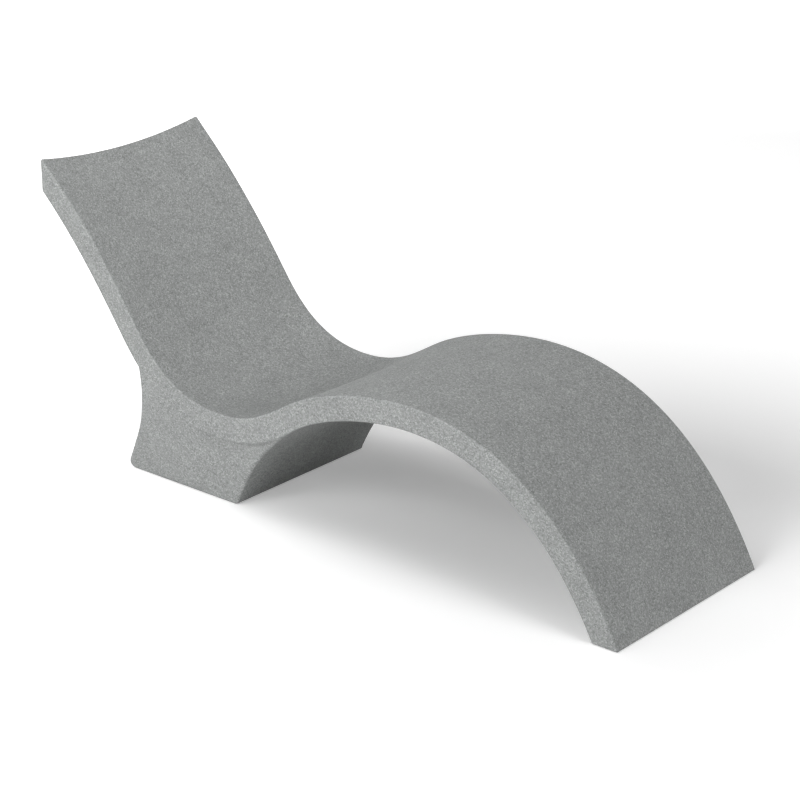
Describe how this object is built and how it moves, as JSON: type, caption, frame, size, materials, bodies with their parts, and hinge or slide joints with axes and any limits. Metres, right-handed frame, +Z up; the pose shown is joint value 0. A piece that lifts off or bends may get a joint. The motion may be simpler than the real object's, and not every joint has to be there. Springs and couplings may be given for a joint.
{
  "type": "pool chaise longue",
  "caption": "Wave-shaped hollow moulded pool lounger with a dished back and seat, a base block under the seat, and screw-plugged ports for water ballast.",
  "frame": {"origin": "on the ground, under the middle of the part's length and width", "axes": "+X from the head end to the foot end, +Y to the sitter's left, +Z up"},
  "size_m": [1.892, 0.583, 0.825],
  "materials": {
    "moulded_shell": "speckled grey rotationally moulded polyethylene with a fine sandblast grain",
    "moulded_plug": "dark grey injection moulded plastic, satin",
    "rubber_gasket": "black rubber, matte",
    "brass_insert": "machined brass"
  },
  "bodies": {
    "lounger": {"shell": "moulded_shell", "fill_port_insert": "brass_insert", "vent_port_insert": "brass_insert"},
    "fill_gasket": {"fill_plug_gasket": "rubber_gasket"},
    "fill_plug": {"fill_plug": "moulded_plug"},
    "vent_gasket": {"vent_plug_gasket": "rubber_gasket"},
    "vent_plug": {"vent_plug": "moulded_plug"}
  },
  "joints": [
    {"name": "fill_plug_travel", "type": "slide", "parent": "lounger", "child": "fill_gasket", "axis": [-0.866, 0, 0.5], "range_m": [0, 0.0161]},
    {"name": "fill_plug_turn", "type": "hinge", "parent": "fill_gasket", "child": "fill_plug", "pos_m": [-0.6722, 0, 0.062], "axis": [-0.866, 0, 0.5], "range_deg": [0, 1440]},
    {"name": "vent_plug_travel", "type": "slide", "parent": "lounger", "child": "vent_gasket", "axis": [-0.7473, 0, -0.6645], "range_m": [0, 0.0121]},
    {"name": "vent_plug_turn", "type": "hinge", "parent": "vent_gasket", "child": "vent_plug", "pos_m": [-0.84732, 0, 0.6344], "axis": [-0.7473, 0, -0.6645], "range_deg": [0, 1440]}
  ],
  "couplings": [
    {"joint": "fill_plug_travel", "follows": "fill_plug_turn", "m_per_rad": 0.00063662},
    {"joint": "vent_plug_travel", "follows": "vent_plug_turn", "m_per_rad": 0.00047746}
  ]
}
